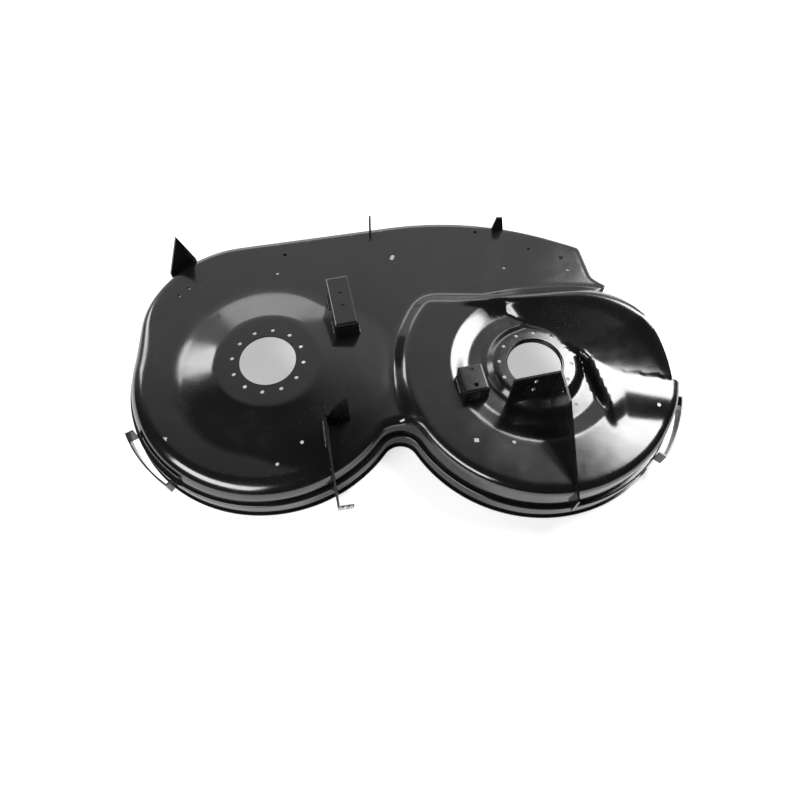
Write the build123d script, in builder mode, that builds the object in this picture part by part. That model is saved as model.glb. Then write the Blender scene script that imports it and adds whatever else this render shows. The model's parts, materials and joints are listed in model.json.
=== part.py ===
from build123d import *
from math import atan2, cos, degrees, radians, sin, sqrt
import os

os.makedirs("parts", exist_ok=True)

# Two-spindle mower deck: a stamped steel shell with brackets welded on it.
# X runs along the spindles, Y to the front, Z up from the rim's rest plane;
# the origin is under the middle of the deck.

# Shell: driving sizes
spindle_spacing = 530.0  # between the two blade spindles
spindle_line = -60.0  # spindles behind the middle of the deck
deck_height = 108.0  # rest plane to the spindle pads
sheet = 3.0  # deck steel
plate = 4.0  # bracket steel

# Shell: plan
lobe_radius = 285.0  # skirt round each blade
lobe_shift_out = 7.0  # lobe centre beside its spindle
lobe_shift_front = 5.0  # lobe centre ahead of its spindle
cusp_radius = 40.0  # inside corner where the rear skirts meet
front_left_reach = 228.0  # corner point of the front left bend
front_left_radius = 235.0
front_crown = Vector(162, 365)  # corner point of the crowned front edge
front_crown_radius = 700.0
front_end = Vector(409, 271)  # right end of the front edge
end_corner_radius = 28.0
flange_end_angle = 57.0  # where the end meets the right lobe

# Shell: levels and section
pad_rise = 25.0  # spindle pads above the front plane
right_ring_drop = 3.0  # right ring below the pads
ledge_width = 8.0  # step in the skirt
ledge_height = 40.0
ledge_radius = 3.0
shoulder_radius = 18.0
drum_shoulder_radius = 21.0
lip_width = 4.0  # turned rim at the foot of the skirt
lip_height = 3.5

# Left dome
left_pad_radius = 105.0
left_cone_foot = 186.0
left_pad_bend = 30.0
left_foot_bend = 90.0
left_tread = 236.0  # flat ring round the cone

# Right dome: groove round the pad
right_pad_radius = 80.0
groove_inner = 98.0
groove_outer = 135.0
ring_inner = 165.0
groove_depth = 14.0
groove_bend = 9.0

# Right dome: front fall and rising tunnel
fall_top = 98.0
fall_foot = 144.0
crest_line = 186.0  # straight front run of the tunnel's crest
crest_radius = 238.0
crest_rise = 16.0  # tunnel crest above the pads at the mouth
tunnel_start = 138.0  # degrees round the right spindle
tunnel_end = -10.0
tunnel_stations = 8
tunnel_wall = 24.0
tunnel_ramp = 4  # stations over which it rises to full height
groove_lap = 12.0  # how far its foot leans in over the groove
groove_lift = 5.0
hip_share = 0.45  # bend in its slope, as a share of the way to the crest
hip_rise = 0.42
brow_share = 0.4  # bend in its outer wall
brow_rise = 0.9
sunk_start = 2.0  # how far the tunnel starts below the ring
sunk_root = 10.0  # depth of the tunnel's root in the dome

# Discharge mouth and throat recess
mouth_radius = 243.0
mouth_start = 51.0
mouth_end = -9.0
throat_depth = 23.0  # recess floor below the pads
throat_draft = 38.0
throat_bend = 12.0
throat_near = Vector(376, -26)
throat_rear = Vector(412, -138)
throat_waist = Vector(452, -110)
throat_far = Vector(580, -124)
throat_tip = Vector(580, -112)

# Holes
left_bore_radius = 56.0
right_bore_radius = 57.0
collar_depth = 11.0
spindle_circle_radius = 71.0
spindle_hole_radius = 4.2
spindle_hole_count = 12
spindle_set_turn = 27.5
small_hole_radius = 3.6
square_hole = 9.0
slot_spot = Vector(-22, 225)
slot_travel = 8.0
slot_radius = 4.5
slot_turn = 75.0
square_hole_spots = [Vector(354, 227), Vector(141, -227), Vector(-448, -221)]
round_hole_spots = [
    Vector(166, 300),
    Vector(283, 252),
    Vector(225, 198),
    Vector(365, 195),
    Vector(-260, 228),
    Vector(-272, 176),
    Vector(-459, 133),
    Vector(-476, 113),
    Vector(-186, -229),
    Vector(-230, -270),
    Vector(211, -230),
    Vector(339, -146),
    Vector(493, -153),
]

# Brackets
cover_turn = 13.0  # cover brackets' turn from the spindle line
hanger_turn = 9.0  # rear hangers' turn from the spindle line
cover_height = 30.0  # cover brackets' tops above the pads
cover_width = 48.0
cover_bend = 5.0
cover_hole_radius = 4.5
left_cover_length = 122.0
left_cover_centre = Vector(-123, 66)
right_cover_length = 58.0
right_cover_centre = Vector(138, -112)
cover_hole_spacing = 32.0
right_hanger_corner = Vector(290, -130)
right_hanger_height = 92.0  # above the pads
right_hanger_reach = 88.0
right_hanger_top = 62.0
right_hanger_length = 214.0
right_hanger_foot = 18.0  # foot of the long edge below the pads
right_hanger_fall = 12.0  # fall of the short leg's top
right_hanger_hole_drop = 20.0
left_hanger_corner = Vector(-143, -185)
left_hanger_height = 84.0
left_hanger_reach = 46.0
left_hanger_length = 150.0
left_hanger_top = 28.0
left_hanger_heel = 120.0
foot_width = 32.0
foot_height = 15.0
hanger_hole_radius = 5.0
ear_height = 34.0  # front ears above the front plane
ear_foot = 30.0
ear_tip = 13.0
left_ear_x = -75.0
right_ear_x = 217.0
ear_line = 314.0  # rear of the front edge's fall
wheel_bracket_depth = 16.0
wheel_bracket_height = 34.0
wheel_bracket_foot = 28.0
wheel_bracket_arc = 28.0
left_wheel_angle = 223.0
right_wheel_angle = -24.0
corner_plate_width = 66.0
corner_plate_tip = 50.0  # above the pads
corner_plate_place = 0.23  # share of the front edge from the left
axle_hole_radius = 6.5

# Levels worked out from the sizes above
plane_level = deck_height - pad_rise
ring_level = deck_height - right_ring_drop
lobe_x = spindle_spacing / 2 + lobe_shift_out
left_spindle = Vector(-spindle_spacing / 2, spindle_line)
right_spindle = Vector(spindle_spacing / 2, spindle_line)
lobe_line = spindle_line + lobe_shift_front
left_lobe = Vector(-lobe_x, lobe_line)
right_lobe = Vector(lobe_x, lobe_line)
upper_radius = lobe_radius - ledge_width

# Plan of the skirt: two lobes, a rounded cusp at the rear and one curved front edge
cusp_drop = sqrt((lobe_radius + cusp_radius) ** 2 - lobe_x**2)
cusp_angle = degrees(atan2(cusp_drop, lobe_x))
with BuildSketch() as outline:
    with BuildLine():
        left_arc = CenterArc(left_lobe, lobe_radius, 180, 180 - cusp_angle)
        cusp = CenterArc((0, lobe_line - cusp_drop), cusp_radius, cusp_angle, 180 - 2 * cusp_angle)
        right_arc = CenterArc(right_lobe, lobe_radius, 180 + cusp_angle, 180 - cusp_angle + flange_end_angle)
        Line(right_arc @ 1, front_end)
        front = FilletPolyline(
            left_arc @ 0,
            (-lobe_x - lobe_radius, front_left_reach),
            front_crown,
            front_end,
            radius=[front_left_radius, front_crown_radius],
        )
    make_face()
    for corner in (front_end, right_arc @ 1):
        fillet(outline.vertices().sort_by_distance(corner)[0], end_corner_radius)


def spindle_plane(centre):
    # Upright half-plane through a spindle, for turned profiles
    return Plane(origin=centre, x_dir=(1, 0, 0), z_dir=(0, -1, 0))


def tunnel_section(angle, share, drop):
    # Section of the rising tunnel at one angle round the right spindle
    direction = Vector(cos(radians(angle)), sin(radians(angle)))
    station = Plane(origin=right_spindle, x_dir=direction, z_dir=direction.cross(Vector(0, 0, 1)))
    level = deck_height - drop
    crest = crest_radius
    if direction.Y > 0:
        crest = min(crest_radius, crest_line / direction.Y)
    rise = crest_rise + right_ring_drop
    hip = groove_outer + (crest - groove_outer) * hip_share
    root = plane_level - drop - sunk_root
    floor = level - groove_depth
    ring = level - right_ring_drop - sunk_start * (1 - share)
    with BuildSketch(station) as section:
        with BuildLine():
            Polyline(
                (groove_inner + groove_bend, root),
                (groove_inner + groove_bend, floor - sunk_start),
                (groove_outer - groove_lap * share, floor - sunk_start + groove_lift * share),
                (hip, ring + hip_rise * rise * share),
                (crest, ring + rise * share),
                (crest + tunnel_wall * brow_share, ring - right_ring_drop + brow_rise * rise * share),
                (crest + tunnel_wall, plane_level - drop - sunk_start),
                (crest + tunnel_wall, root),
                close=True,
            )
        make_face()
    return section.sketch


def right_dome(inset):
    # Raised right lobe with its groove, front fall, tunnel and throat
    level = deck_height - inset
    ring = ring_level - inset
    plane = plane_level - inset
    with BuildPart() as dome:
        dome_foot = ledge_height + 2 * ledge_radius
        with BuildSketch(Plane.XY.offset(dome_foot - inset)):
            with Locations(right_lobe):
                Circle(upper_radius - inset)
        extrude(amount=deck_height - dome_foot)
        with BuildSketch(spindle_plane(right_spindle)) as groove:
            with BuildLine():
                Polyline(
                    (0, level + groove_depth),
                    (0, level),
                    (right_pad_radius, level),
                    (groove_inner, level - groove_depth),
                    (groove_outer, level - groove_depth),
                    (ring_inner, ring),
                    (2 * lobe_radius, ring),
                    (2 * lobe_radius, level + groove_depth),
                    close=True,
                )
            make_face()
            fillet(groove.vertices().group_by(Axis.Y)[0], groove_bend)
        revolve(axis=Axis(right_spindle, (0, 0, 1)), mode=Mode.SUBTRACT)
        shoulder = dome.edges().filter_by_position(Axis.Z, ring, ring).sort_by(SortBy.LENGTH)[-1]
        fillet(shoulder, drum_shoulder_radius - inset)
        with BuildSketch(Plane.YZ.offset(-spindle_spacing)):
            with BuildLine():
                top = Vector(fall_top, ring)
                foot = Vector(fall_foot, plane)
                Spline(top, foot, tangents=[(1, 0), (1, 0)])
                Polyline(
                    foot,
                    (fall_foot + lobe_radius, plane),
                    (fall_foot + lobe_radius, level),
                    (fall_top, level),
                    top,
                )
            make_face()
        extrude(amount=2 * spindle_spacing + lobe_radius, mode=Mode.SUBTRACT)
        step = (tunnel_end - tunnel_start) / (tunnel_stations - 1)
        stations = [tunnel_start + step * n for n in range(tunnel_stations)]
        sections = [tunnel_section(a, min(1, n / tunnel_ramp), inset) for n, a in enumerate(stations)]
        loft(sections)
        with BuildSketch(Plane.XY.offset(level - throat_depth)) as throat:
            with BuildLine():
                Polyline(throat_near, throat_rear, throat_waist, throat_far, throat_tip, close=True)
            make_face()
            fillet(throat.vertices().sort_by(Axis.X)[:3], throat_bend)
        extrude(amount=throat_depth + crest_rise, taper=-throat_draft, mode=Mode.SUBTRACT)
    return dome.part


def deck_form(inset):
    # Solid form of the stamping; its skin and the same form set in by the sheet make the shell
    with BuildPart() as form:
        with BuildSketch(Plane.XY.offset(-inset)):
            add(outline.sketch)
            if inset:
                offset(amount=-inset, mode=Mode.REPLACE)
        extrude(amount=ledge_height)
        fillet(form.edges().group_by(Axis.Z)[-1], ledge_radius)
        ledge = ledge_height - inset
        with BuildSketch(Plane.XY.offset(ledge)):
            add(outline.sketch)
            offset(amount=-inset - ledge_width, mode=Mode.REPLACE)
        extrude(amount=plane_level - ledge_height)
        fillet(form.edges().group_by(Axis.Z)[-1], shoulder_radius - inset)
        level = deck_height - inset
        plane = plane_level - inset
        with BuildSketch(spindle_plane(left_spindle)) as cone:
            with BuildLine():
                Polyline(
                    (0, plane - sunk_root),
                    (0, level),
                    (left_pad_radius, level),
                    (left_cone_foot, plane),
                    (left_tread, plane),
                    (left_tread, plane - sunk_root),
                    close=True,
                )
            make_face()
            fillet(cone.vertices().sort_by_distance((left_pad_radius, level))[0], left_pad_bend)
            fillet(cone.vertices().sort_by_distance((left_cone_foot, plane))[0], left_foot_bend)
        revolve(axis=Axis(left_spindle, (0, 0, 1)))
        add(right_dome(inset))
    return form.part


deck_skin = deck_form(0)
deck_hollow = deck_form(sheet)
with BuildPart() as deck_shell:
    add(deck_skin)
    with BuildSketch():
        add(outline.sketch)
        offset(amount=lip_width, mode=Mode.REPLACE)
    extrude(amount=lip_height)
    add(deck_hollow, mode=Mode.SUBTRACT)
    with BuildSketch(Plane.XY.offset(deck_height - collar_depth)):
        with Locations(right_spindle):
            Circle(right_bore_radius + sheet)
    extrude(amount=collar_depth)
    with BuildSketch():
        with BuildLine():
            rim = CenterArc(right_spindle, mouth_radius, mouth_end, mouth_start - mouth_end)
            reach = mouth_radius + lobe_radius
            rear = PolarLine(rim @ 0, reach, mouth_end)
            ahead = PolarLine(rim @ 1, reach, mouth_start)
            Line(rear @ 1, ahead @ 1)
        make_face()
    extrude(amount=deck_height + crest_rise + sheet, mode=Mode.SUBTRACT)
    top = deck_height + sheet
    with Locations((left_spindle.X, left_spindle.Y, top)):
        Hole(left_bore_radius)
    with Locations((right_spindle.X, right_spindle.Y, top)):
        Hole(right_bore_radius)
    for spindle in (left_spindle, right_spindle):
        with Locations((spindle.X, spindle.Y, top)):
            with PolarLocations(spindle_circle_radius, spindle_hole_count, spindle_set_turn):
                Hole(spindle_hole_radius)
    with Locations(*[(spot.X, spot.Y, top) for spot in round_hole_spots]):
        Hole(small_hole_radius)
    with BuildSketch(Plane.XY.offset(top)):
        with Locations(*square_hole_spots):
            Rectangle(square_hole, square_hole)
        with Locations(slot_spot):
            SlotCenterToCenter(slot_travel, 2 * slot_radius, rotation=slot_turn)
    extrude(amount=-pad_rise - 2 * sheet, mode=Mode.SUBTRACT)
deck_shell.part.label = "deck_shell"
export_step(deck_shell.part, "parts/deck_shell.step")


def across(turn):
    # Unit vector to the right on a bracket turned from the spindle line
    return Vector(cos(radians(turn)), sin(radians(turn)))


def rearward(turn):
    return Vector(sin(radians(turn)), -cos(radians(turn)))


def cover_bracket(name, centre, length):
    # Folded bracket that carries the belt cover, open below and ahead
    top = deck_height + cover_height
    drop = cover_height + pad_rise + sunk_root
    lid = Plane(origin=(centre.X, centre.Y, top), x_dir=across(cover_turn), z_dir=(0, 0, 1))
    with BuildPart() as bracket:
        with BuildSketch(lid):
            Rectangle(cover_width, length)
        extrude(amount=-drop)
        fillet(bracket.edges().filter_by(Plane.XY).group_by(Axis.Z)[-1], cover_bend)
        with BuildSketch(lid.offset(-sheet)):
            with Locations((0, sheet)):
                Rectangle(cover_width - 2 * sheet, length)
        extrude(amount=-drop, mode=Mode.SUBTRACT)
        with BuildSketch(lid):
            with GridLocations(0, cover_hole_spacing, 1, 2):
                Circle(cover_hole_radius)
        extrude(amount=-2 * sheet, mode=Mode.SUBTRACT)
        add(deck_skin, mode=Mode.SUBTRACT)
    bracket.part.label = name
    export_step(bracket.part, f"parts/{name}.step")


cover_bracket("left_cover_bracket", left_cover_centre, left_cover_length)
cover_bracket("right_cover_bracket", right_cover_centre, right_cover_length)

# Right rear hanger: one plate bent at its front corner, its long leg running back over the skirt
side = across(hanger_turn)
back = rearward(hanger_turn)
hanger_root = plane_level - sunk_root
right_top = deck_height + right_hanger_height
with BuildPart() as right_hanger:
    with BuildSketch(Plane(origin=right_hanger_corner, x_dir=back, z_dir=-side)):
        with BuildLine():
            Polyline(
                (0, hanger_root),
                (0, right_top),
                (right_hanger_top, right_top - sheet),
                (right_hanger_length, deck_height - right_hanger_foot),
                (right_hanger_length, ledge_height),
                (right_hanger_length / 2, ledge_height),
                close=True,
            )
        make_face()
        with Locations((right_hanger_top / 2, right_top - right_hanger_hole_drop)):
            Circle(hanger_hole_radius, mode=Mode.SUBTRACT)
    extrude(amount=plate)
    with BuildSketch(Plane(origin=right_hanger_corner, x_dir=-side, z_dir=-back)):
        with BuildLine():
            Polyline(
                (0, hanger_root),
                (0, right_top),
                (right_hanger_reach, right_top - right_hanger_fall),
                (right_hanger_reach, hanger_root),
                close=True,
            )
        make_face()
        with Locations((right_hanger_reach / 2, right_top - 2 * right_hanger_hole_drop)):
            with GridLocations(0, 1.5 * right_hanger_hole_drop, 1, 2):
                Circle(hanger_hole_radius, mode=Mode.SUBTRACT)
    extrude(amount=-plate)
    add(deck_skin, mode=Mode.SUBTRACT)
right_hanger.part.label = "right_rear_hanger"
export_step(right_hanger.part, "parts/right_rear_hanger.step")

# Left rear hanger: a fin running back over the skirt to a foot, with a raked ear at its front
left_top = deck_height + left_hanger_height
foot_corner = left_hanger_corner + back * left_hanger_length
with BuildPart() as left_hanger:
    with BuildSketch(Plane(origin=left_hanger_corner, x_dir=back, z_dir=-side)):
        with BuildLine():
            Polyline(
                (0, hanger_root),
                (0, deck_height),
                (left_hanger_top / 2, left_top),
                (left_hanger_top, left_top - plate),
                (left_hanger_length, foot_height),
                (left_hanger_length, lip_height),
                (left_hanger_heel, lip_height),
                (left_hanger_length / 2, ledge_height),
                close=True,
            )
        make_face()
    extrude(amount=-plate)
    with BuildSketch(Plane(origin=left_hanger_corner, x_dir=side, z_dir=back)):
        with BuildLine():
            Polyline(
                (0, hanger_root),
                (0, deck_height),
                (left_hanger_reach, left_top),
                (left_hanger_reach, hanger_root),
                close=True,
            )
        make_face()
    extrude(amount=plate)
    with BuildSketch(Plane(origin=foot_corner, x_dir=side, z_dir=back)):
        with Locations((foot_width / 2, lip_height + foot_height / 2)):
            Rectangle(foot_width, foot_height)
            Circle(hanger_hole_radius, mode=Mode.SUBTRACT)
    extrude(amount=-plate)
    add(deck_skin, mode=Mode.SUBTRACT)
left_hanger.part.label = "left_rear_hanger"
export_step(left_hanger.part, "parts/left_rear_hanger.step")

# Front ears: upright plates on the front edge for the front link
ear_top = plane_level + ear_height
with BuildPart() as left_ear:
    with BuildSketch(Plane.YZ.offset(left_ear_x)):
        with BuildLine():
            Polyline(
                (ear_line - ear_foot, plane_level - sunk_root),
                (ear_line - ear_tip, ear_top),
                (ear_line, ear_top),
                (ear_line, plane_level - sunk_root),
                close=True,
            )
        make_face()
    extrude(amount=plate)
    add(deck_skin, mode=Mode.SUBTRACT)
left_ear.part.label = "left_front_ear"
export_step(left_ear.part, "parts/left_front_ear.step")
with BuildPart() as right_ear:
    with BuildSketch(Plane.XZ.offset(-ear_line)):
        with BuildLine():
            Polyline(
                (right_ear_x - ear_foot / 2, plane_level - sunk_root),
                (right_ear_x - ear_tip / 2, ear_top),
                (right_ear_x + ear_tip / 2, ear_top),
                (right_ear_x + ear_foot / 2, plane_level - sunk_root),
                close=True,
            )
        make_face()
    extrude(amount=plate)
    add(deck_skin, mode=Mode.SUBTRACT)
right_ear.part.label = "right_front_ear"
export_step(right_ear.part, "parts/right_front_ear.step")


def wheel_bracket(name, lobe, angle):
    # Folded strap bowed out from the skirt, open above and below
    outer = lobe_radius + wheel_bracket_depth
    with BuildPart() as bracket:
        with BuildSketch(Plane.XY.offset(wheel_bracket_foot)):
            for radius, arc, mode in (
                (outer, wheel_bracket_arc, Mode.ADD),
                (outer - sheet, wheel_bracket_arc - 2 * degrees(sheet / outer), Mode.SUBTRACT),
            ):
                with BuildLine():
                    rim = CenterArc(lobe, radius, angle - arc / 2, arc)
                    Line(lobe, rim @ 0)
                    Line(rim @ 1, lobe)
                make_face(mode=mode)
        extrude(amount=wheel_bracket_height)
        with BuildSketch(Plane.XY):
            with Locations(lobe):
                Circle(lobe_radius)
        extrude(amount=deck_height, mode=Mode.SUBTRACT)
    bracket.part.label = name
    export_step(bracket.part, f"parts/{name}.step")


wheel_bracket("rear_left_wheel_bracket", left_lobe, left_wheel_angle)
wheel_bracket("rear_right_wheel_bracket", right_lobe, right_wheel_angle)

# Front left wheel bracket: an upright plate on the bend of the front edge, pointed at the top
place = front @ corner_plate_place
along = front % corner_plate_place
with BuildPart() as corner_plate:
    with BuildSketch(Plane(origin=place, x_dir=along, z_dir=along.cross(Vector(0, 0, 1)))):
        half = corner_plate_width / 2
        with BuildLine():
            Polyline(
                (-half, ledge_height / 2),
                (half, ledge_height / 2),
                (half, plane_level - sunk_root),
                (half / 3, deck_height + corner_plate_tip),
                (-half, plane_level - sunk_root),
                close=True,
            )
        make_face()
        with Locations((0, ledge_height)):
            Circle(axle_hole_radius, mode=Mode.SUBTRACT)
    extrude(amount=plate / 2, both=True)
    add(deck_skin, mode=Mode.SUBTRACT)
corner_plate.part.label = "front_left_wheel_bracket"
export_step(corner_plate.part, "parts/front_left_wheel_bracket.step")
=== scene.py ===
import bmesh
import bpy
import json
import math
import numpy
from mathutils import Matrix, Vector
from mathutils.geometry import delaunay_2d_cdt
from mathutils.kdtree import KDTree


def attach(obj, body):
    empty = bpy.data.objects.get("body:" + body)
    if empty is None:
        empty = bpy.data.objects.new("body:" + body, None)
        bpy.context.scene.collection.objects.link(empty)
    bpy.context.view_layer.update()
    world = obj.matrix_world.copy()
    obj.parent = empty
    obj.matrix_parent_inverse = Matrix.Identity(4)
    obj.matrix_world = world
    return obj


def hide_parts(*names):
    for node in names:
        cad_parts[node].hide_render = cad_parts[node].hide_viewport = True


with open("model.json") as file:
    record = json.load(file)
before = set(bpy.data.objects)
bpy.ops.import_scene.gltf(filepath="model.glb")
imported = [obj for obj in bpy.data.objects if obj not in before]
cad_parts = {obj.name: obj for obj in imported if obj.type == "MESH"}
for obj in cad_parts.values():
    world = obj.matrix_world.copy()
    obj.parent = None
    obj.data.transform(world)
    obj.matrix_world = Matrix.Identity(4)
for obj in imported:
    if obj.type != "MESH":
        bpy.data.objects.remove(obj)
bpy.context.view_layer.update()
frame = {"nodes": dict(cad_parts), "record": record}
scene = bpy.context.scene
scene.view_settings.view_transform = "Standard"
print("frame loaded:", len(frame["nodes"]), "nodes")


class Wire:  # a socket of a node tree, which takes part in sums
    def __init__(self, tree, socket=None):
        self.tree = tree
        self.socket = socket

    def node(self, kind, settings=None, values=None, out=0):
        made = self.tree.nodes.new(kind)
        for key, value in (settings or {}).items():
            setattr(made, key, value)
        for key, value in (values or {}).items():
            if isinstance(value, Wire):
                self.tree.links.new(value.socket, made.inputs[key])
            else:
                made.inputs[key].default_value = value
        return Wire(self.tree, made.outputs[out] if len(made.outputs) else None)

    def out(self, name):  # another output of the same node
        return Wire(self.tree, self.socket.node.outputs[name])

    def maths(self, operation, first, second):
        return self.node("ShaderNodeMath", {"operation": operation}, {0: first, 1: second})

    def __add__(self, other):
        return self.maths("ADD", self, other)

    def __radd__(self, other):
        return self.maths("ADD", other, self)

    def __sub__(self, other):
        return self.maths("SUBTRACT", self, other)

    def __rsub__(self, other):
        return self.maths("SUBTRACT", other, self)

    def __mul__(self, other):
        return self.maths("MULTIPLY", self, other)

    def __rmul__(self, other):
        return self.maths("MULTIPLY", other, self)


def noise(coords, scale, detail, roughness):
    values = {"Vector": coords, "Scale": scale, "Detail": detail, "Roughness": roughness}
    return coords.node("ShaderNodeTexNoise", None, values, "Fac")


def ramp(value, low, high):  # 0 before low, 1 past high, smooth between
    values = {"Value": value, "From Min": low, "From Max": high}
    return value.node("ShaderNodeMapRange", {"interpolation_type": "SMOOTHSTEP"}, values)


def mixColour(part, first, second):
    return part.node("ShaderNodeMix", {"data_type": "RGBA"}, {0: part, 6: first, 7: second}, 2)


def bump(height, distance, normal=None):
    values = {"Strength": 1.0, "Distance": distance, "Height": height}
    if normal:
        values["Normal"] = normal
    return height.node("ShaderNodeBump", None, values)


def emptyTree(holder):  # of a material or a world
    holder.use_nodes = True
    holder.node_tree.nodes.clear()
    return Wire(holder.node_tree)


enamelLook = {  # noises are scale per metre, detail and roughness
    "colour": (0.006, 0.006, 0.0063, 1),
    "gloss": 0.13,  # roughness where clean
    "specular": 1.0,
    "smear": 0.09, "smearNoise": (5.5, 4, 0.6), "smearRange": (0.42, 0.68),  # rougher where handled
    "streak": 0.03, "streakNoise": (38, 3, 0.55), "streakRange": (0.5, 0.75),
    "dustColour": (0.11, 0.11, 0.105, 1), "dustCover": 0.7, "dustRough": 0.3,
    "speckNoise": (780, 1, 0.4), "speckLimit": 0.735, "speckEdge": 0.03,
    "patchNoise": (11, 2, 0.5), "patchRange": (0.45, 0.62),  # where the dust lies
    "waveNoise": (16, 1, 0.5), "waveHeight": 0.00035,  # draw marks of the press
    "peelNoise": (520, 2, 0.5), "peelHeight": 0.00001,  # orange peel
}
bracketLook = dict(enamelLook, gloss=0.2, waveHeight=0.0, speckLimit=0.7)
hangerFoot = {  # paint worn off the foot
    "top": 0.02, "fade": 0.004, "edge": 0.012, "edgeNoise": (160, 3, 0.5),
    "colour": (0.6, 0.59, 0.57, 1), "rough": 0.22,
}


def makeEnamel(name, look, foot=None):
    material = bpy.data.materials.new(name)
    start = emptyTree(material)
    coords = start.node("ShaderNodeTexCoord", out="Object")
    smear = ramp(noise(coords, *look["smearNoise"]), *look["smearRange"])
    streak = ramp(noise(coords, *look["streakNoise"]), *look["streakRange"])
    specks = ramp(noise(coords, *look["speckNoise"]), look["speckLimit"], look["speckLimit"] + look["speckEdge"])
    dust = specks * ramp(noise(coords, *look["patchNoise"]), *look["patchRange"])
    colour = mixColour(dust * look["dustCover"], look["colour"], look["dustColour"])
    rough = look["gloss"] + smear * look["smear"] + streak * look["streak"] + dust * look["dustRough"]
    bare = 0.0
    if foot:
        height = start.node("ShaderNodeSeparateXYZ", None, {0: coords}, "Z")
        ragged = height + (noise(coords, *foot["edgeNoise"]) - 0.5) * foot["edge"]
        bare = ramp(ragged, foot["top"], foot["top"] - foot["fade"])
        colour = mixColour(bare, colour, foot["colour"])
        rough = rough + bare * foot["rough"]
    wave = bump(noise(coords, *look["waveNoise"]), look["waveHeight"])
    peel = bump(noise(coords, *look["peelNoise"]), look["peelHeight"], wave)
    shader = start.node("ShaderNodeBsdfPrincipled", None, {
        "Base Color": colour, "Roughness": rough, "Metallic": bare, "Normal": peel,
        "Specular IOR Level": look["specular"]})
    start.node("ShaderNodeOutputMaterial", None, {"Surface": shader})
    return material


deckEnamel = makeEnamel("deckEnamel", enamelLook)
bracketEnamel = makeEnamel("bracketEnamel", bracketLook)
hangerEnamel = makeEnamel("hangerEnamel", bracketLook, hangerFoot)
paints = {"deck_shell": deckEnamel, "left_rear_hanger": hangerEnamel}
for name, piece in frame["nodes"].items():
    piece.data.materials.clear()
    piece.data.materials.append(paints.get(name, bracketEnamel))
print("enamel on", len(frame["nodes"]), "nodes")


deck = {  # metres and degrees, with angles round the right spindle from +X
    "lobeX": 0.272, "lobeY": -0.055, "lobeRadius": 0.285, "cuspRadius": 0.040,  # plan of the skirt
    "frontLeftReach": 0.228, "frontLeftRadius": 0.235,
    "frontCrown": (0.162, 0.365), "frontCrownRadius": 0.7,
    "frontEnd": (0.409, 0.271), "endRadius": 0.028,
    "flangeAngle": 57, "flangeGap": 4, "flangeRadius": 0.014,
    "lip": 0.004, "lipHeight": 0.0035,  # section of the skirt
    "ledge": 0.008, "ledgeHeight": 0.040, "ledgeBend": 0.003,
    "shoulder": 0.018, "leftShoulder": 0.034,
    "leftShoulderX": (-0.03, -0.2), "leftShoulderY": (0.1, -0.05),  # where the shoulder widens
    "mouthRear": -9, "mouthFront": 51, "mouthRearReach": 0.264, "mouthFrontReach": 0.212, "mouthOut": 0.33,
    "pad": 0.108, "plane": 0.083, "ring": 0.105,  # levels
    "leftPadEdge": 0.105, "leftPadSoft": 0.0045, "leftConeFoot": 0.186, "leftFootSoft": 0.0136,
    "flankReach": 0.07, "flankTurn": -20, "flankFrom": 0.2,  # gentler side of the left cone
    "padEdge": 0.080, "grooveInner": 0.098, "padSoft": 0.0035, "grooveDepth": 0.014,
    "grooveOuter": 0.135, "grooveSoft": 0.004, "ringInner": 0.165, "ringSoft": 0.006,
    "fallTop": 0.085, "fallFoot": 0.130,  # front fall of the drum
    "drum": 0.277, "drumTop": -0.020, "drumFoot": 0.020,
    "crestLine": 0.150, "crestRise": 0.034, "crestTurn": 60, "frontSlope": 36, "hipShare": 0.7,
    "tunnelStart": 138, "tunnelGrown": 128, "tunnelFull": 52, "tunnelEnd": -8, "roofEnd": -14, "roofFull": 22,
    "slopeFoot": 0.074, "slopeWall": 1.6, "slopeTurn": 53, "slopeHigh": 5, "slopeLow": 112,
    "fillEnd": 24, "fillStart": 95,
    "terraceRise": 0.007, "terraceRoot": (0.369, -0.030), "terraceTip": (0.399, -0.146),
    "terraceWaist": (0.430, -0.121), "terraceFar": (0.524, -0.135), "terraceAside": 0.05,
    "terraceWall": 0.016, "terraceFall": 0.060, "terraceFront": (0.0, 0.05),
    "leftBore": 0.056, "rightBore": 0.057, "collar": 0.011,  # holes
    "screwCircle": 0.071, "screwCount": 12, "screwTurn": 27.5, "screw": 0.0042,
    "punch": 0.0036, "punchSpots": (
        (0.166, 0.300), (0.283, 0.252), (0.225, 0.198), (0.365, 0.195), (-0.260, 0.228), (-0.272, 0.176),
        (-0.459, 0.133), (-0.476, 0.113), (-0.186, -0.229), (-0.230, -0.270), (0.211, -0.230),
        (0.339, -0.146), (0.493, -0.153)),
    "square": 0.009, "squareSpots": ((0.354, 0.227), (0.141, -0.227), (-0.448, -0.221)),
    "slotSpot": (-0.022, 0.225), "slotTravel": 0.008, "slotRadius": 0.0045, "slotTurn": 75,
    "sheet": 0.003, "pitch": 0.005, "pitchGap": 0.45,  # mesh spacing, and its share kept clear of edges
    "bendSteps": 5, "holeSides": 16, "wallLines": 8, "wallSteps": 30, "mergeGap": 0.00002, "crease": 40,
}
spindles = {mount["name"]: mount["pos_m"][:2] for mount in frame["record"]["mounts"] if mount["kind"] == "bore"}
leftSpindle, rightSpindle = spindles["left_spindle_bore"], spindles["right_spindle_bore"]


def share(value, start, end):  # 0 at start, 1 at end
    return max(0.0, min(1.0, (value - start) / (end - start)))


def ease(value, start, end):
    part = share(value, start, end)
    return part * part * (3 - 2 * part)


def bend(value, soft):  # 0 before the bend, value past it, round between
    if value < -soft:
        return 0.0
    return value if value > soft else (value + soft) ** 2 / (4 * soft)


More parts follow.
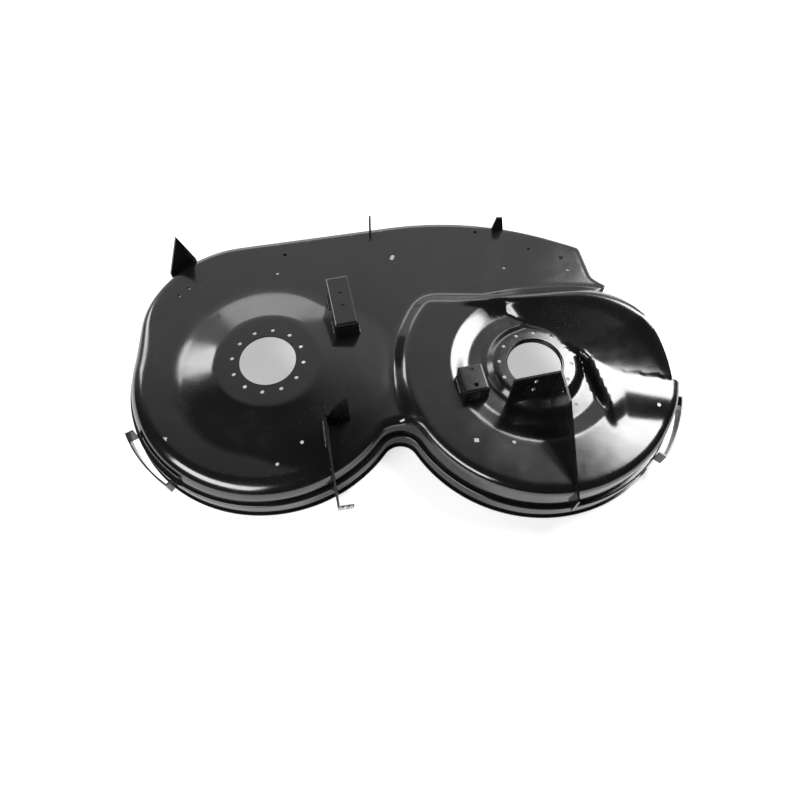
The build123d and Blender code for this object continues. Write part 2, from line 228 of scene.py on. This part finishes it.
def slant(value, start, end, startSoft, endSoft):  # straight from 0 to 1, with rounded ends
    return (bend(value - start, startSoft) - bend(value - end, endSoft)) / (end - start)


def hermite(part, length, first, second, leave, arrive):
    square, cube = part ** 2, part ** 3
    return ((2 * cube - 3 * square + 1) * first + (cube - 2 * square + part) * length * leave
            + (3 * square - 2 * cube) * second + (cube - square) * length * arrive)


def crestReach(angle):  # the crest runs straight, then bends back to the mouth
    held = math.radians(max(angle, deck["crestTurn"]))
    straight = deck["crestLine"] / math.sin(held)
    return straight + straight / math.tan(held) * (held - math.radians(angle))


def tunnelHeight(angle, reach, level):  # climbs from the groove to its crest, falls to the front plane
    if not deck["tunnelEnd"] < angle < deck["tunnelStart"]:
        return level
    lean = math.cos(math.radians(angle - deck["slopeTurn"]))
    near = deck["slopeFoot"] / lean
    if angle > deck["slopeTurn"]:
        near = min(near, deck["grooveOuter"])
    crest = crestReach(angle)
    sunk = (deck["terraceRise"] + deck["grooveDepth"]) * share(angle, deck["slopeHigh"], deck["slopeLow"])
    if angle < deck["tunnelFull"]:
        full = crestReach(deck["tunnelFull"]) - deck["slopeFoot"]
        roof = (crest * lean - deck["slopeFoot"]) / full * share(angle, deck["roofEnd"], deck["roofFull"])
        rise = deck["terraceRise"] + (deck["crestRise"] - deck["terraceRise"]) * roof
    else:
        drop = deck["crestRise"] + deck["pad"] - deck["ring"]
        rise = deck["crestRise"] - drop * share(angle, deck["tunnelFull"], deck["tunnelStart"])
    start, top = deck["pad"] + (deck["terraceRise"] - sunk), deck["pad"] + rise
    if reach < near:  # wall below the slope
        if reach <= deck["padEdge"]:
            return level
        filled = ease(angle, deck["slopeHigh"], deck["fillEnd"]) * ease(angle, deck["slopeLow"], deck["fillStart"])
        line = deck["pad"] + (start - deck["pad"]) * share(reach, deck["padEdge"], near)
        return max(level + max(0.0, line - level) * filled, start - (near - reach) * deck["slopeWall"])
    slope = (top - start) / (crest - near)
    hip = near + (crest - near) * deck["hipShare"]
    hipLevel = start + slope * (hip - near)
    foot = crest + (top - deck["plane"]) / math.tan(math.radians(deck["frontSlope"]))
    over = (deck["plane"] - hipLevel) / (foot - hip)  # slope at the crest
    if reach < hip:
        tunnel = start + slope * (reach - near)
    elif reach < crest:
        tunnel = hermite((reach - hip) / (crest - hip), crest - hip, hipLevel, top, slope, over)
    elif reach < foot:
        tunnel = hermite((reach - crest) / (foot - crest), foot - crest, top, deck["plane"], over, 0)
    else:
        return level
    return level + max(0.0, tunnel - level) * ease(angle, deck["tunnelStart"], deck["tunnelGrown"])


def terraceShare(x, y):  # 1 on the terrace behind the mouth, 0 off it
    (rootX, rootY), (tipX, tipY) = deck["terraceRoot"], deck["terraceTip"]
    (waistX, waistY), (farX, farY) = deck["terraceWaist"], deck["terraceFar"]
    run = math.hypot(tipX - rootX, tipY - rootY)
    left = ((x - rootX) * (tipY - rootY) - (y - rootY) * (tipX - rootX)) / run
    if x < waistX:
        rear = tipY + (x - tipX) / (waistX - tipX) * (waistY - tipY) - y
    else:
        rear = waistY + (x - waistX) / (farX - waistX) * (farY - waistY) - y
    beside, behind = ease(left, 0, deck["terraceWall"]), ease(rear, 0, deck["terraceFall"])
    return (1 - beside) * (1 - behind) * (1 - ease(y, *deck["terraceFront"]))


def deckHeight(x, y):
    fromLeft = math.hypot(x - leftSpindle[0], y - leftSpindle[1])
    facing = math.atan2(y - leftSpindle[1], x - leftSpindle[0]) - math.radians(deck["flankTurn"])
    foot = deck["leftConeFoot"] + deck["flankReach"] * ease(math.cos(facing), deck["flankFrom"], 1)
    fallen = slant(fromLeft, deck["leftPadEdge"], foot, deck["leftPadSoft"], deck["leftFootSoft"])
    cone = deck["pad"] - (deck["pad"] - deck["plane"]) * fallen
    aside, ahead = x - rightSpindle[0], y - rightSpindle[1]
    reach, angle = math.hypot(aside, ahead), math.degrees(math.atan2(ahead, aside))
    sunk = slant(reach, deck["padEdge"], deck["grooveInner"], deck["padSoft"], deck["padSoft"])
    risen = slant(reach, deck["grooveOuter"], deck["ringInner"], deck["grooveSoft"], deck["ringSoft"])
    level = deck["pad"] - deck["grooveDepth"] * sunk
    level += (deck["ring"] - deck["pad"] + deck["grooveDepth"]) * risen
    if y > deck["fallTop"]:
        fall = deck["ring"] + (deck["plane"] - deck["ring"]) * ease(y, deck["fallTop"], deck["fallFoot"])
        level = min(level, fall)
    past = math.hypot(x - deck["lobeX"], y - deck["lobeY"]) - deck["drum"]
    level += (deck["plane"] - level) * ease(past, deck["drumTop"], deck["drumFoot"])
    level = tunnelHeight(angle, reach, level)
    if aside > deck["terraceAside"]:
        level += max(0.0, deck["pad"] + deck["terraceRise"] - level) * terraceShare(x, y)
    return max(cone, level)


def arcPoints(centre, radius, start, end):
    count = max(3, int(abs(math.radians(end - start)) * radius / deck["pitch"]) + 1)
    turns = [math.radians(start + (end - start) * n / count) for n in range(count + 1)]
    return [(centre[0] + radius * math.cos(turn), centre[1] + radius * math.sin(turn)) for turn in turns]


def roundCorner(before, corner, after, radius):
    first = (Vector(before) - Vector(corner)).normalized()
    second = (Vector(after) - Vector(corner)).normalized()
    half = first.angle(second) / 2
    centre = Vector(corner) + (first + second).normalized() * (radius / math.sin(half))
    begin = Vector(corner) + first * (radius / math.tan(half)) - centre
    finish = Vector(corner) + second * (radius / math.tan(half)) - centre
    turn = begin.angle_signed(finish)
    steps = max(4, int(abs(turn) * radius / deck["pitch"]))
    return [tuple(centre + Matrix.Rotation(-turn * n / steps, 2) @ begin) for n in range(steps + 1)]


def evenLoop(points):  # the same loop with its points a pitch apart
    ring = points + points[:1]
    lengths = [math.dist(a, b) for a, b in zip(ring, ring[1:])]
    count = int(sum(lengths) / deck["pitch"])
    step, walked, at, loop = sum(lengths) / count, 0.0, 0, []
    for n in range(count):
        while walked + lengths[at] < n * step:
            walked += lengths[at]
            at += 1
        part = (n * step - walked) / lengths[at] if lengths[at] else 0
        loop.append(Vector(ring[at]).lerp(Vector(ring[at + 1]), part))
    return loop


def skirtLoop():  # left lobe, cusp, right lobe, flange, front
    x, y, radius = deck["lobeX"], deck["lobeY"], deck["lobeRadius"]
    drop = math.sqrt((radius + deck["cuspRadius"]) ** 2 - x ** 2)
    cusp = math.degrees(math.atan2(drop, x))
    points = arcPoints((-x, y), radius, 180, 360 - cusp)
    points += arcPoints((0, y - drop), deck["cuspRadius"], 180 - cusp, cusp)[1:]
    points += arcPoints((x, y), radius, 180 + cusp, 360 + deck["flangeAngle"] - deck["flangeGap"])[1:]
    turn = math.radians(deck["flangeAngle"])
    flange = (x + radius * math.cos(turn), y + radius * math.sin(turn))
    corner = (-x - radius, deck["frontLeftReach"])
    points += roundCorner(points[-1], flange, deck["frontEnd"], deck["flangeRadius"])
    points += roundCorner(flange, deck["frontEnd"], deck["frontCrown"], deck["endRadius"])
    points += roundCorner(deck["frontEnd"], deck["frontCrown"], corner, deck["frontCrownRadius"])
    points += roundCorner(deck["frontCrown"], corner, (-x - radius, y), deck["frontLeftRadius"])
    return evenLoop(points)


def mouthReach(angle):
    part = share(angle, deck["mouthRear"], deck["mouthFront"])
    return deck["mouthRearReach"] + (deck["mouthFrontReach"] - deck["mouthRearReach"]) * part


def aroundRight(angle, reach):
    turn = math.radians(angle)
    return (rightSpindle[0] + reach * math.cos(turn), rightSpindle[1] + reach * math.sin(turn))


def inMouth(x, y):
    aside, ahead = x - rightSpindle[0], y - rightSpindle[1]
    angle = math.degrees(math.atan2(ahead, aside))
    return deck["mouthRear"] < angle < deck["mouthFront"] and math.hypot(aside, ahead) > mouthReach(angle)


def roundHole(x, y, radius):
    turns = [2 * math.pi * k / deck["holeSides"] for k in range(deck["holeSides"])]
    return [(x + radius * math.cos(turn), y + radius * math.sin(turn)) for turn in turns]


def slotHole():
    middle, turn, half = Vector(deck["slotSpot"]), math.radians(deck["slotTurn"]), deck["holeSides"] // 2
    loop = []
    for side, facing in ((1, turn), (-1, turn + math.pi)):
        end = middle + Vector((math.cos(turn), math.sin(turn))) * (side * deck["slotTravel"] / 2)
        for k in range(half + 1):
            way = facing + (k / half - 0.5) * math.pi
            loop.append(tuple(end + Vector((math.cos(way), math.sin(way))) * deck["slotRadius"]))
    return loop


def holeLoops():
    loops = []
    for spindle, bore in ((leftSpindle, deck["leftBore"]), (rightSpindle, deck["rightBore"])):
        loops.append(arcPoints(spindle, bore, 0, 360)[:-1])
        for n in range(deck["screwCount"]):
            turn = math.radians(deck["screwTurn"] + 360 / deck["screwCount"] * n)
            x = spindle[0] + deck["screwCircle"] * math.cos(turn)
            y = spindle[1] + deck["screwCircle"] * math.sin(turn)
            loops.append(roundHole(x, y, deck["screw"]))
    loops += [roundHole(x, y, deck["punch"]) for x, y in deck["punchSpots"]]
    half = deck["square"] / 2
    for x, y in deck["squareSpots"]:
        loops.append([(x - half, y - half), (x + half, y - half), (x + half, y + half), (x - half, y + half)])
    return loops + [slotHole()]


def terraceLines():  # mesh lines along the terrace's wall
    root, tip = Vector(deck["terraceRoot"]), Vector(deck["terraceTip"])
    aside = Vector((-(root - tip).y, (root - tip).x)).normalized()
    steps, lines = deck["wallSteps"], []
    for k in range(deck["wallLines"] + 1):
        offset = aside * (deck["terraceWall"] * k / deck["wallLines"])
        lines.append([tuple(tip.lerp(root, n / steps) + offset) for n in range(steps + 1)])
    return lines


def within(points, loop):
    inside = numpy.zeros(len(points), bool)
    for (x0, y0), (x1, y1) in zip(loop, loop[1:] + loop[:1]):
        crosses = (y0 > points[:, 1]) != (y1 > points[:, 1])
        inside ^= crosses & (points[:, 0] < (x1 - x0) * (points[:, 1] - y0) / ((y1 - y0) or 1e-12) + x0)
    return inside


def planGrid(inner, runs):  # even points inside the edge, clear of every line
    low, high, pitch = numpy.min(inner, axis=0), numpy.max(inner, axis=0), deck["pitch"]
    columns, rows = numpy.arange(low[0], high[0], pitch), numpy.arange(low[1], high[1], pitch)
    grid = numpy.stack(numpy.meshgrid(columns, rows), -1).reshape(-1, 2)
    edge = inner + [point for run in runs for point in run]
    nearest = KDTree(len(edge))
    for n, (x, y) in enumerate(edge):
        nearest.insert((x, y, 0), n)
    nearest.balance()
    grid = grid[within(grid, inner)]
    return [(x, y) for x, y in grid if nearest.find((x, y, 0))[2] > pitch * deck["pitchGap"]]


def pressTop(sheet, inner):  # a triangle mesh over the plan, lifted to the deck's height
    cuts, walls = holeLoops(), terraceLines()
    mouth = [aroundRight(angle, mouthReach(angle)) for angle in range(deck["mouthRear"], deck["mouthFront"] + 1)]
    mouth.insert(0, aroundRight(deck["mouthRear"], deck["mouthOut"]))
    mouth.append(aroundRight(deck["mouthFront"], deck["mouthOut"]))
    flat, lines = [], []
    for run, closed in [(inner, 1), (mouth, 0)] + [(cut, 1) for cut in cuts] + [(wall, 0) for wall in walls]:
        first, size = len(flat), len(run)
        flat += [Vector(point) for point in run]
        lines += [(first + n, first + (n + 1) % size) for n in range(size - 1 + closed)]
    flat += [Vector(point) for point in planGrid(inner, cuts + walls)]
    spots, _, triangles, *_ = delaunay_2d_cdt(flat, lines, [], 0, 1e-7)
    middles = numpy.array([sum((spots[k] for k in face), Vector((0, 0))) / 3 for face in triangles])
    keep = within(middles, inner) & ~numpy.array([inMouth(x, y) for x, y in middles])
    for cut in cuts:
        keep &= ~within(middles, cut)
    top = [sheet.verts.new((spot.x, spot.y, deckHeight(spot.x, spot.y))) for spot in spots]
    for face, kept in zip(triangles, keep):
        if kept:
            sheet.faces.new([top[k] for k in face])


def sweepSkirt(sheet, loop, outward, shoulders, inner):  # lip, ledge and shoulder, open at the mouth
    count, lip, ledge, curl = len(loop), deck["lip"], deck["ledge"], deck["ledgeBend"]
    bends = [math.radians(90 / deck["bendSteps"] * k) for k in range(deck["bendSteps"] + 1)]
    section = [(-lip, 0.0), (-lip, deck["lipHeight"]), (0, deck["lipHeight"])]
    section += [(curl * (1 - math.cos(b)), deck["ledgeHeight"] - curl * (1 - math.sin(b))) for b in bends]
    section.append((ledge, deck["ledgeHeight"]))
    rings = []
    for inset, level in section:
        rings.append([sheet.verts.new((*(loop[n] - outward[n] * inset), level)) for n in range(count)])
    for b in bends:
        ring = []
        for n in range(count):
            spot = loop[n] - outward[n] * ledge - outward[n] * (shoulders[n] * (1 - math.cos(b)))
            ring.append(sheet.verts.new((*spot, deckHeight(*inner[n]) - shoulders[n] * (1 - math.sin(b)))))
        rings.append(ring)
    for below, above in zip(rings, rings[1:]):
        for n in range(count):
            m = (n + 1) % count
            if not (inMouth(*loop[n]) and inMouth(*loop[m])):
                sheet.faces.new((below[n], below[m], above[m], above[n]))


def turnCollar(sheet):  # the right bore's edge, turned down
    rim = arcPoints(rightSpindle, deck["rightBore"], 0, 360)[:-1]
    upper, lower = ([sheet.verts.new((x, y, deck["pad"] - depth)) for x, y in rim] for depth in (0, deck["collar"]))
    for n in range(len(rim)):
        m = (n + 1) % len(rim)
        sheet.faces.new((upper[m], upper[n], lower[n], lower[m]))


def makeDeck():
    loop = skirtLoop()
    count = len(loop)
    outward, shoulders = [], []
    for n, spot in enumerate(loop):
        along = (loop[(n + 1) % count] - loop[n - 1]).normalized()
        outward.append(Vector((along.y, -along.x)))
        wider = deck["leftShoulder"] - deck["shoulder"]
        wider = wider * ease(spot.y, *deck["leftShoulderY"]) * ease(spot.x, *deck["leftShoulderX"])
        shoulders.append(deck["shoulder"] + wider)
    inner = [tuple(loop[n] - outward[n] * (deck["ledge"] + shoulders[n])) for n in range(count)]
    sheet = bmesh.new()
    pressTop(sheet, inner)
    sweepSkirt(sheet, loop, outward, shoulders, inner)
    turnCollar(sheet)
    bmesh.ops.remove_doubles(sheet, verts=sheet.verts[:], dist=deck["mergeGap"])
    bmesh.ops.delete(sheet, geom=[vertex for vertex in sheet.verts if not vertex.link_faces], context="VERTS")
    for face in sheet.faces:
        face.smooth = True
    mesh = bpy.data.meshes.new("stampedDeck")
    sheet.to_mesh(mesh)
    sheet.free()
    piece = bpy.data.objects.new("stampedDeck", mesh)
    scene.collection.objects.link(piece)
    gauge = piece.modifiers.new("gauge", "SOLIDIFY")
    gauge.thickness = deck["sheet"]
    gauge.offset = -1  # inwards
    shaped = bpy.data.meshes.new_from_object(piece.evaluated_get(bpy.context.evaluated_depsgraph_get()))
    piece.modifiers.remove(gauge)
    shaped.set_sharp_from_angle(angle=math.radians(deck["crease"]))
    shaped.materials.clear()
    shaped.materials.append(deckEnamel)
    piece.data = shaped
    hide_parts("deck_shell")
    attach(piece, "root")
    print("deck stamped:", sum(len(face.vertices) - 2 for face in shaped.polygons), "triangles")


makeDeck()


welds = {
    "spacing": 0.0021, "size": 0.0026, "spread": 0.25, "seed": 11, "rounds": 2,  # the drops of a bead
    "colour": (0.02, 0.02, 0.021, 1), "gloss": 0.24,
    "steps": 14, "lift": 0.0006,
    "feet": (  # corner, way across, then each run's start and end as across and back
        ((-0.123, 0.066), (0.974, 0.225), (
            ((-0.026, -0.058), (-0.026, -0.022)), ((-0.026, 0.020), (-0.026, 0.050)),
            ((0.026, 0.022), (0.026, 0.056)))),
        ((0.138, -0.112), (0.974, 0.225), (
            ((-0.026, -0.024), (-0.026, 0.010)), ((0.026, -0.008), (0.026, 0.024)))),
        ((0.290, -0.130), (0.988, 0.156), (
            ((-0.080, -0.002), (-0.030, -0.002)), ((0.005, 0.030), (0.005, 0.110)))),
        ((-0.143, -0.185), (0.988, 0.156), (
            ((-0.005, 0.004), (-0.005, 0.050)), ((0.008, -0.003), (0.042, -0.003))))),
}


def beadTree(paint):  # drops of uneven size along each run
    tree = bpy.data.node_groups.new("beadRow", "GeometryNodeTree")
    tree.interface.new_socket("Geometry", in_out="INPUT", socket_type="NodeSocketGeometry")
    kinds = {"Spacing": "Float", "Size": "Float", "Spread": "Float", "Seed": "Int", "Rounds": "Int"}
    keys = {}
    for name, kind in kinds.items():
        keys[name] = tree.interface.new_socket(name, in_out="INPUT", socket_type="NodeSocket" + kind).identifier
    tree.interface.new_socket("Geometry", in_out="OUTPUT", socket_type="NodeSocketGeometry")
    start = Wire(tree)
    given = start.node("NodeGroupInput", out="Geometry")
    path = start.node("GeometryNodeMeshToCurve", None, {"Mesh": given})
    stations = start.node("GeometryNodeResampleCurve", {"mode": "LENGTH"},
                          {"Curve": path, "Length": given.out("Spacing")})
    ball = start.node("GeometryNodeMeshIcoSphere", None,
                      {"Radius": given.out("Size"), "Subdivisions": given.out("Rounds")})
    drop = start.node("GeometryNodeSetShadeSmooth", None, {"Geometry": ball})
    spread = given.out("Spread")
    sizes = start.node("FunctionNodeRandomValue", {"data_type": "FLOAT"},
                       {2: 1 - spread, 3: 1 + spread, "Seed": given.out("Seed")}, 1)
    drops = start.node("GeometryNodeInstanceOnPoints", None, {"Points": stations, "Instance": drop, "Scale": sizes})
    bead = start.node("GeometryNodeRealizeInstances", None, {"Geometry": drops})
    painted = start.node("GeometryNodeSetMaterial", None, {"Geometry": bead, "Material": paint})
    start.node("NodeGroupOutput", None, {"Geometry": painted})
    return tree, keys


def weldPath():  # points on the deck along each run, and the lines between them
    points, lines = [], []
    for corner, way, runs in welds["feet"]:
        across, back = Vector(way), Vector((way[1], -way[0]))
        for start, end in runs:
            for n in range(welds["steps"] + 1):
                part = n / welds["steps"]
                aside, behind = (start[k] + (end[k] - start[k]) * part for k in (0, 1))
                x, y = Vector(corner) + across * aside + back * behind
                points.append((x, y, deckHeight(x, y) + welds["lift"]))
                if n:
                    lines.append((len(points) - 2, len(points) - 1))
    return points, lines


def makeWelds():
    mesh = bpy.data.meshes.new("weldBeads")
    mesh.from_pydata(*weldPath(), [])
    beads = bpy.data.objects.new("weldBeads", mesh)
    scene.collection.objects.link(beads)
    paint = makeEnamel("weldPaint", dict(bracketLook, gloss=welds["gloss"], colour=welds["colour"]))
    row = beads.modifiers.new("beadRow", "NODES")
    row.node_group, keys = beadTree(paint)
    for name, key in keys.items():
        row[key] = welds[name.lower()]
    shaped = bpy.data.meshes.new_from_object(beads.evaluated_get(bpy.context.evaluated_depsgraph_get()))
    beads.modifiers.remove(row)
    beads.data = shaped
    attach(beads, "root")
    print("weld beads:", len(shaped.polygons), "faces")


makeWelds()


floorLook = {
    "size": 9.0, "drop": 0.0005,
    "colour": (0.86, 0.86, 0.86, 1),
    "mottleColour": (0.74, 0.74, 0.74, 1), "mottle": 0.12, "mottleNoise": (9, 5, 0.6),
    "lift": 0.5,  # whiter to the camera and in reflections
    "shadeAcross": 0.56, "shadeAhead": 0.36, "shadeRange": (0.8, 1.1),  # reflections lose the floor's lift inside an ellipse under the deck: a painted shadow there
}


def makeFloor():
    half = floorLook["size"] / 2
    mesh = bpy.data.meshes.new("studioFloor")
    corners = [(x * half, y * half, -floorLook["drop"]) for x, y in ((-1, -1), (1, -1), (1, 1), (-1, 1))]
    mesh.from_pydata(corners, [], [(0, 1, 2, 3)])
    floor = bpy.data.objects.new("studioFloor", mesh)
    scene.collection.objects.link(floor)
    material = bpy.data.materials.new("paleFloor")
    start = emptyTree(material)
    coords = start.node("ShaderNodeTexCoord", out="Object")
    mottle = noise(coords, *floorLook["mottleNoise"]) * floorLook["mottle"]
    colour = mixColour(mottle, floorLook["colour"], floorLook["mottleColour"])
    plain = start.node("ShaderNodeBsdfDiffuse", None, {"Color": colour})
    glow = start.node("ShaderNodeEmission", None, {"Color": (1, 1, 1, 1), "Strength": floorLook["lift"]})
    lifted = start.node("ShaderNodeAddShader", None, {0: plain, 1: glow})
    spot = start.node("ShaderNodeSeparateXYZ", None, {0: coords}, "X")
    across, ahead = spot * (1 / floorLook["shadeAcross"]), spot.out("Y") * (1 / floorLook["shadeAhead"])
    # painted shadow: glossy rays see no lift inside this ellipse under the deck
    clear = ramp(across * across + ahead * ahead, *floorLook["shadeRange"])
    rays = start.node("ShaderNodeLightPath", out="Is Camera Ray")
    seen = rays + (rays.out("Is Glossy Ray") + rays.out("Is Transmission Ray")) * clear
    surface = start.node("ShaderNodeMixShader", None, {0: seen, 1: plain, 2: lifted})
    start.node("ShaderNodeOutputMaterial", None, {"Surface": surface})
    mesh.materials.append(material)
    print("floor laid")


makeFloor()


roomLook = {"dark": 0.03, "bright": 0.62, "fade": (0.15, 0.7)}  # dark behind the camera, bright ahead
softboxes = {
    "rightKey": {"place": (1.29, 0.8, 1.66), "aim": (0.265, -0.06, 0.1), "size": (1.15, 0.85), "radiance": 13},
    "rearLeftWindow": {"place": (-1.4, -1.4, 1.5), "aim": (-0.3, -0.1, 0.1), "size": (2.0, 0.8), "radiance": 9},
    "leftPanel": {"place": (-1.77, 0.95, 1.16), "aim": (-0.4, -0.05, 0.1), "size": (0.55, 0.5), "radiance": 7},
    "frontWall": {"place": (-0.6, 2.5, 0.96), "aim": (-0.1, 0.1, 0.1), "size": (2.4, 0.8), "radiance": 1.8},
}


def makeRoom():
    world = bpy.data.worlds.new("studioRoom")
    start = emptyTree(world)
    way = start.node("ShaderNodeTexCoord", out="Generated")
    ahead = ramp(start.node("ShaderNodeSeparateXYZ", None, {0: way}, "Y"), *roomLook["fade"])
    dark, bright = (start.node("ShaderNodeBackground", None, {"Color": (1, 1, 1, 1), "Strength": roomLook[key]})
                    for key in ("dark", "bright"))
    surface = start.node("ShaderNodeMixShader", None, {0: ahead, 1: dark, 2: bright})
    start.node("ShaderNodeOutputWorld", None, {"Surface": surface})
    scene.world = world


def hangSoftbox(name, look):
    lamp = bpy.data.lights.new(name, "AREA")
    lamp.shape = "RECTANGLE"
    lamp.size, lamp.size_y = look["size"]
    lamp.energy = look["radiance"] * look["size"][0] * look["size"][1] * math.pi
    box = bpy.data.objects.new(name, lamp)
    scene.collection.objects.link(box)
    box.location = look["place"]
    box.rotation_mode = "QUATERNION"
    box.rotation_quaternion = (Vector(look["aim"]) - Vector(look["place"])).to_track_quat("-Z", "Y")


makeRoom()
for name, look in softboxes.items():
    hangSoftbox(name, look)
print("lights hung:", len(softboxes))


cameraLook = {
    "place": (-0.00797, -0.70596, 1.1817),
    "pitch": 62.472,  # degrees down
    "yaw": 0.559, "roll": 1.019,
    "lens": 28.433, "sensor": 36,  # millimetres
}


def makeCamera(look):
    pitch, yaw, roll = (math.radians(look[key]) for key in ("pitch", "yaw", "roll"))
    ahead = Vector((math.sin(yaw) * math.cos(pitch), math.cos(yaw) * math.cos(pitch), -math.sin(pitch)))
    right = Vector((math.cos(yaw), -math.sin(yaw), 0))
    up = right.cross(ahead)
    sideways = right * math.cos(roll) + up * math.sin(roll)
    upright = up * math.cos(roll) - right * math.sin(roll)
    lens = bpy.data.cameras.new("photoCamera")
    lens.sensor_width = look["sensor"]
    lens.lens = look["lens"]
    camera = bpy.data.objects.new("photoCamera", lens)
    scene.collection.objects.link(camera)
    turn = Matrix((sideways, upright, -ahead)).transposed()
    camera.matrix_world = Matrix.Translation(look["place"]) @ turn.to_4x4()
    scene.camera = camera


makeCamera(cameraLook)
print("camera set")
